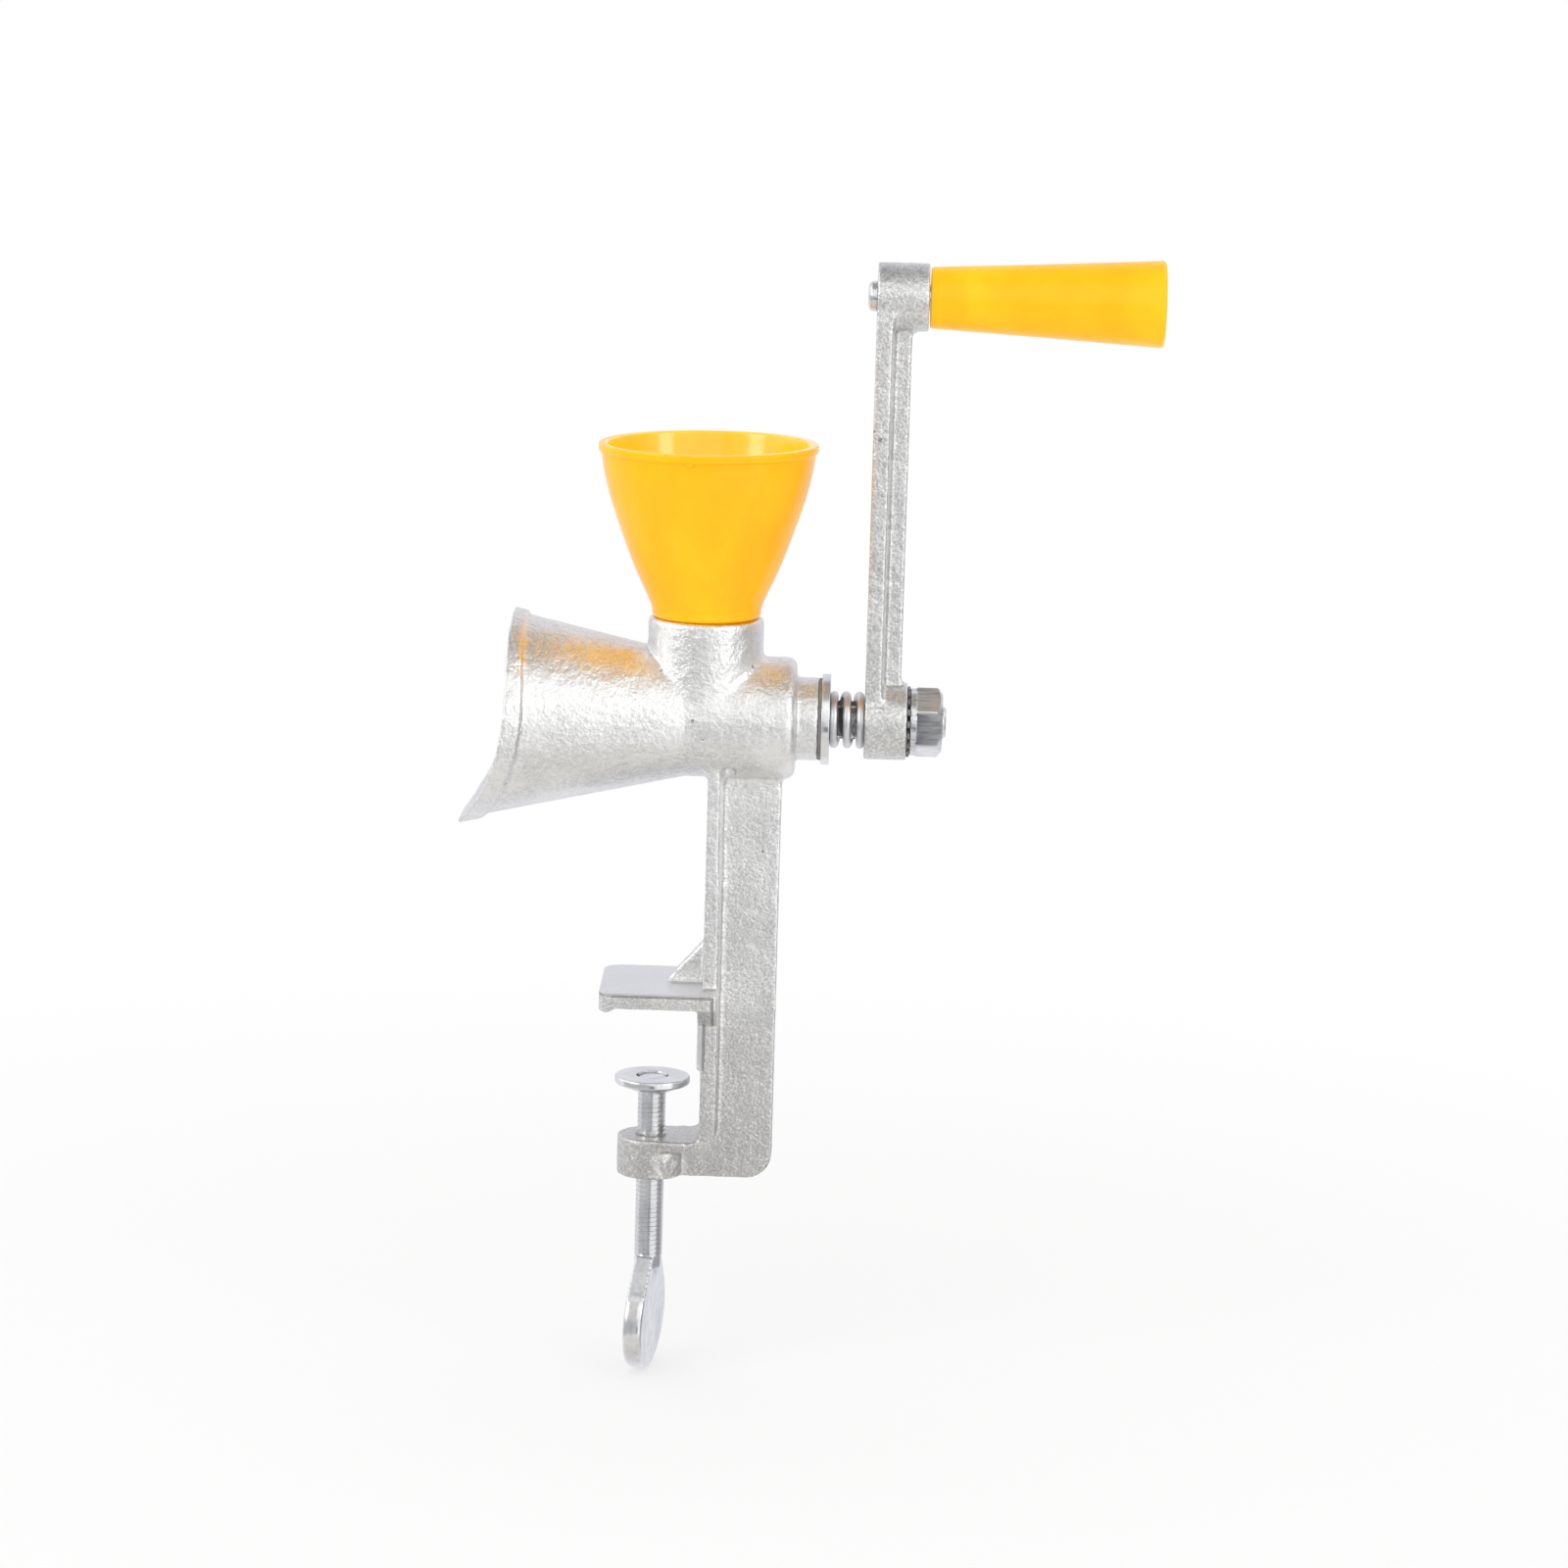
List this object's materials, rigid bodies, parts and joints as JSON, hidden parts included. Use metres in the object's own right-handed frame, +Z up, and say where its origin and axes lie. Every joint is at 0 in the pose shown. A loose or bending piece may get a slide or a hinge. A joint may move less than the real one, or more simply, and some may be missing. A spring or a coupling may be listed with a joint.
{
  "type": "hand crank grinder",
  "caption": "Table-clamp hand crank grinder with a cast body, flared discharge horn, yellow funnel hopper, T-section crank arm and tapered yellow handle.",
  "frame": {"origin": "underside of the fixed clamp jaw, on the axis of the clamp screw", "axes": "+Z up, +X along the shaft towards the crank, +Y away from the picture's camera"},
  "size_m": [0.1448, 0.0458, 0.2403],
  "materials": {
    "cast_aluminium": "bright sand-cast aluminium, fine grain",
    "zinc_steel": "bright zinc-plated steel",
    "spring_steel": "bright drawn spring wire",
    "dark_steel": "dark phosphated steel",
    "burr_iron": "machined cast iron",
    "fibre": "dark pressed fibre",
    "yellow_plastic": "satin gloss injection moulding"
  },
  "bodies": {
    "casting": {"body_casting": "cast_aluminium", "burr_ring": "burr_iron", "neck_seal": "fibre"},
    "hopper": {"hopper": "yellow_plastic"},
    "seat": {"neck_washer": "zinc_steel", "compression_spring": "spring_steel"},
    "crank": {"crank_arm": "cast_aluminium", "lock_washer": "dark_steel", "handle_spindle": "zinc_steel"},
    "nut": {"adjusting_nut": "zinc_steel"},
    "rotor": {"drive_shaft": "zinc_steel", "feed_auger": "burr_iron", "burr_cone": "burr_iron", "drive_pin": "zinc_steel", "cone_washer": "zinc_steel", "cone_screw": "zinc_steel"},
    "grip": {"handle_grip": "yellow_plastic"},
    "pad": {"clamp_pad": "zinc_steel"},
    "screw": {"clamp_screw": "zinc_steel"}
  },
  "joints": [
    {"name": "hopper_lift", "type": "slide", "parent": "casting", "child": "hopper", "axis": [0, 0, 1], "range_m": [0, 0.012]},
    {"name": "crank_turn", "type": "hinge", "parent": "casting", "child": "seat", "pos_m": [0.0339, 0, 0.0604], "axis": [1, 0, 0], "continuous": true},
    {"name": "burr_float", "type": "slide", "parent": "seat", "child": "crank", "axis": [1, 0, 0], "range_m": [-0.001, 0], "stiffness_N_per_m": 5000, "springref_m": 0.004, "deforming": ["compression_spring"]},
    {"name": "nut_turn", "type": "hinge", "parent": "crank", "child": "nut", "pos_m": [0.0558, 0, 0.0604], "axis": [1, 0, 0], "range_deg": [-290, 290]},
    {"name": "burr_feed", "type": "slide", "parent": "crank", "child": "rotor", "axis": [1, 0, 0], "range_m": [-0.001, 0.001]},
    {"name": "grip_spin", "type": "hinge", "parent": "crank", "child": "grip", "pos_m": [0.0779, 0, 0.1494], "axis": [1, 0, 0], "continuous": true},
    {"name": "pad_travel", "type": "slide", "parent": "casting", "child": "pad", "axis": [0, 0, 1], "range_m": [-0.007, 0.017]},
    {"name": "screw_turn", "type": "hinge", "parent": "pad", "child": "screw", "pos_m": [0, 0, -0.0336], "axis": [0, 0, 1], "range_deg": [-2530, 6130]}
  ],
  "couplings": [
    {"joint": "nut_turn", "follows": "burr_feed", "rad_per_m": -5026.5},
    {"joint": "screw_turn", "follows": "pad_travel", "rad_per_m": 6283.2}
  ]
}
